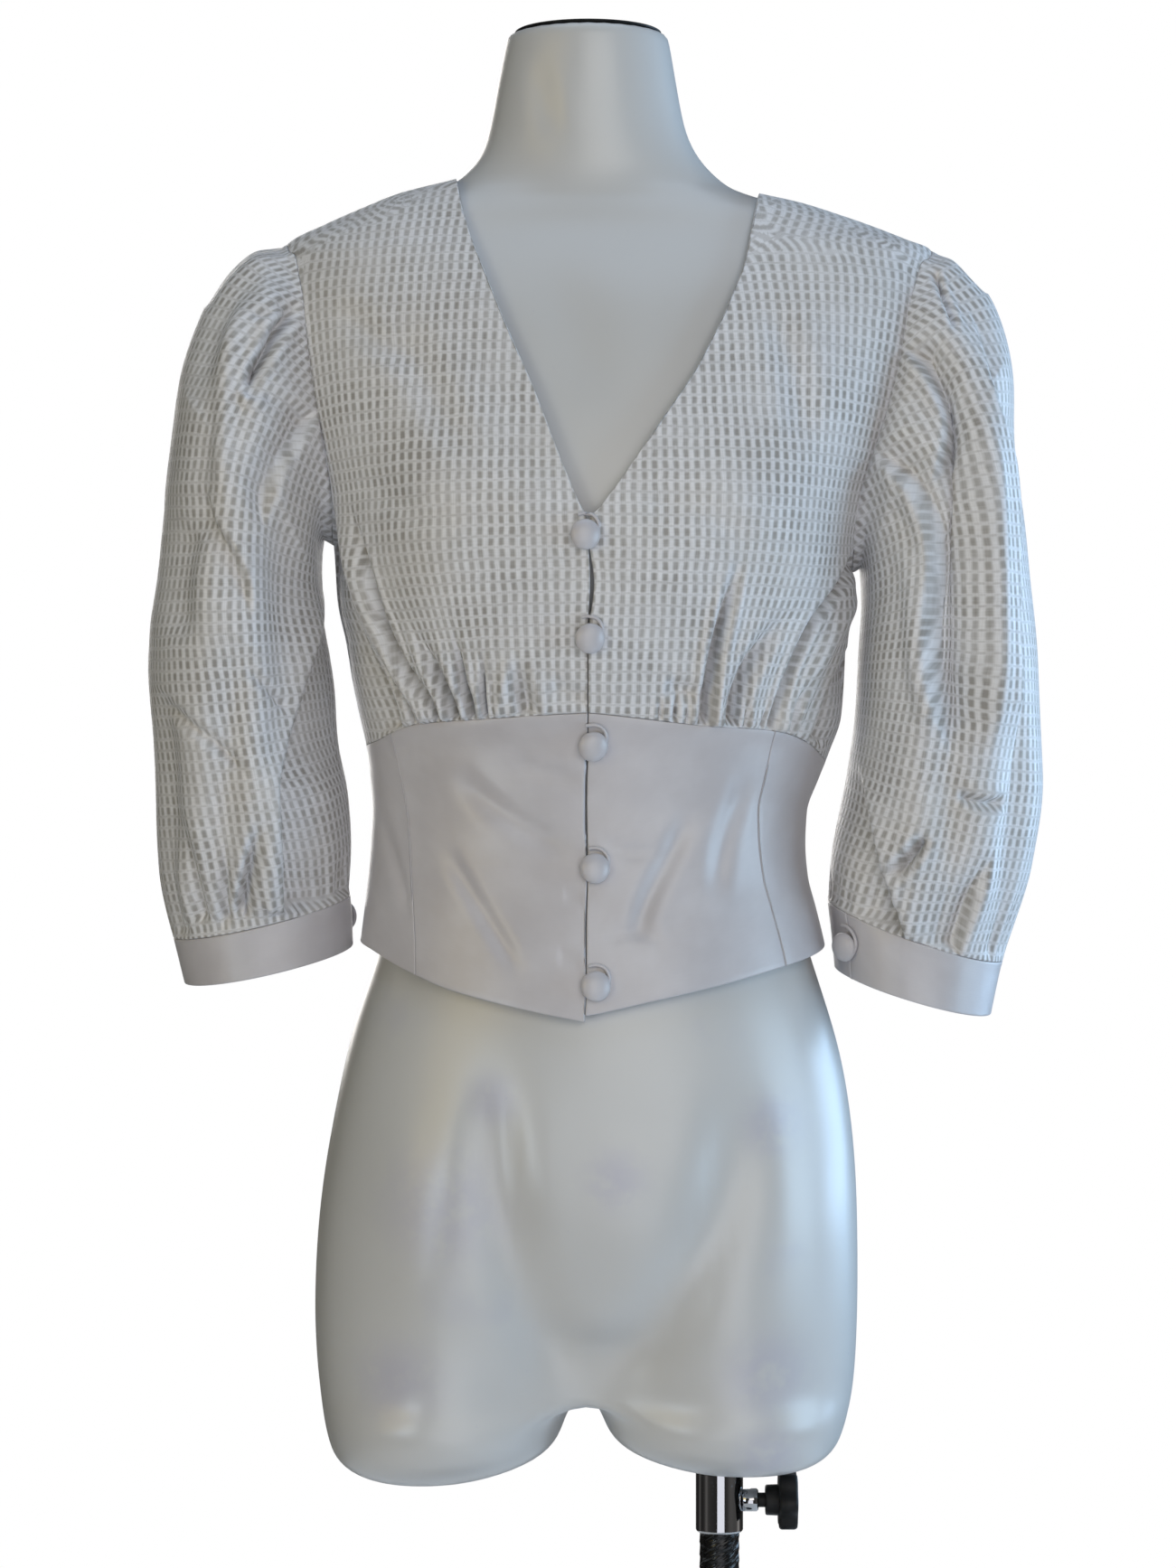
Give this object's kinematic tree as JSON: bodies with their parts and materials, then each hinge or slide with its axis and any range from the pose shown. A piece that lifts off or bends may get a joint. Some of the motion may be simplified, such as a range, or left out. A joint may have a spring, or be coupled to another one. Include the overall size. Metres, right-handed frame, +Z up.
{
  "type": "blouse on a torso dress form with its stand",
  "caption": "Cropped V-neck checked blouse with a plain midriff band, loop buttons and full sleeves, worn by a limbless torso form that clamps on a pole with a round base.",
  "frame": {"origin": "middle of the footprint, on the floor under the base", "axes": "+Z up, the wearer's front faces -Y, +X to the viewer's right"},
  "size_m": [0.5509, 0.4, 1.5028],
  "materials": {
    "check": "woven self-check, matt ground with shinier lozenges",
    "satin": "plain satin weave, soft sheen",
    "form_shell": "off-white, satin sheen",
    "chrome": "polished",
    "black_plastic": "moulded black",
    "black_tape": "black tape wound round the pole",
    "base_metal": "black powder coat"
  },
  "bodies": {
    "base": {"base_plate": "base_metal", "base_hub": "base_metal"},
    "pole": {"pole": "black_tape"},
    "form": {"form": "form_shell", "neck_cap": "black_plastic", "collar": "chrome", "front_left": "check", "front_right": "check", "back": "check", "band_front_left": "satin", "band_side_left": "satin", "band_front_right": "satin", "band_side_right": "satin", "band_back": "satin", "sleeve_left": "check", "sleeve_right": "check", "cuff_left": "satin", "cuff_right": "satin", "button_1": "satin", "button_2": "satin", "button_3": "satin", "button_4": "satin", "button_5": "satin", "cuff_button_left": "satin", "cuff_button_right": "satin", "loop_1": "satin", "loop_2": "satin", "loop_3": "satin", "loop_4": "satin", "loop_5": "satin", "cuff_loop_left": "satin", "cuff_loop_right": "satin"},
    "knob": {"clamp_knob": "black_plastic"}
  },
  "joints": [
    {"name": "pole_swivel", "type": "hinge", "parent": "base", "child": "pole", "pos_m": [0.0767, 0, 0.03], "axis": [0, 0, 1], "continuous": true},
    {"name": "height_slide", "type": "slide", "parent": "pole", "child": "form", "axis": [0, 0, 1], "range_m": [-0.03, 0.12]},
    {"name": "knob_turn", "type": "hinge", "parent": "form", "child": "knob", "pos_m": [0.0767, 0, 0.5935], "axis": [1, 0, 0], "range_deg": [0, 540]}
  ]
}
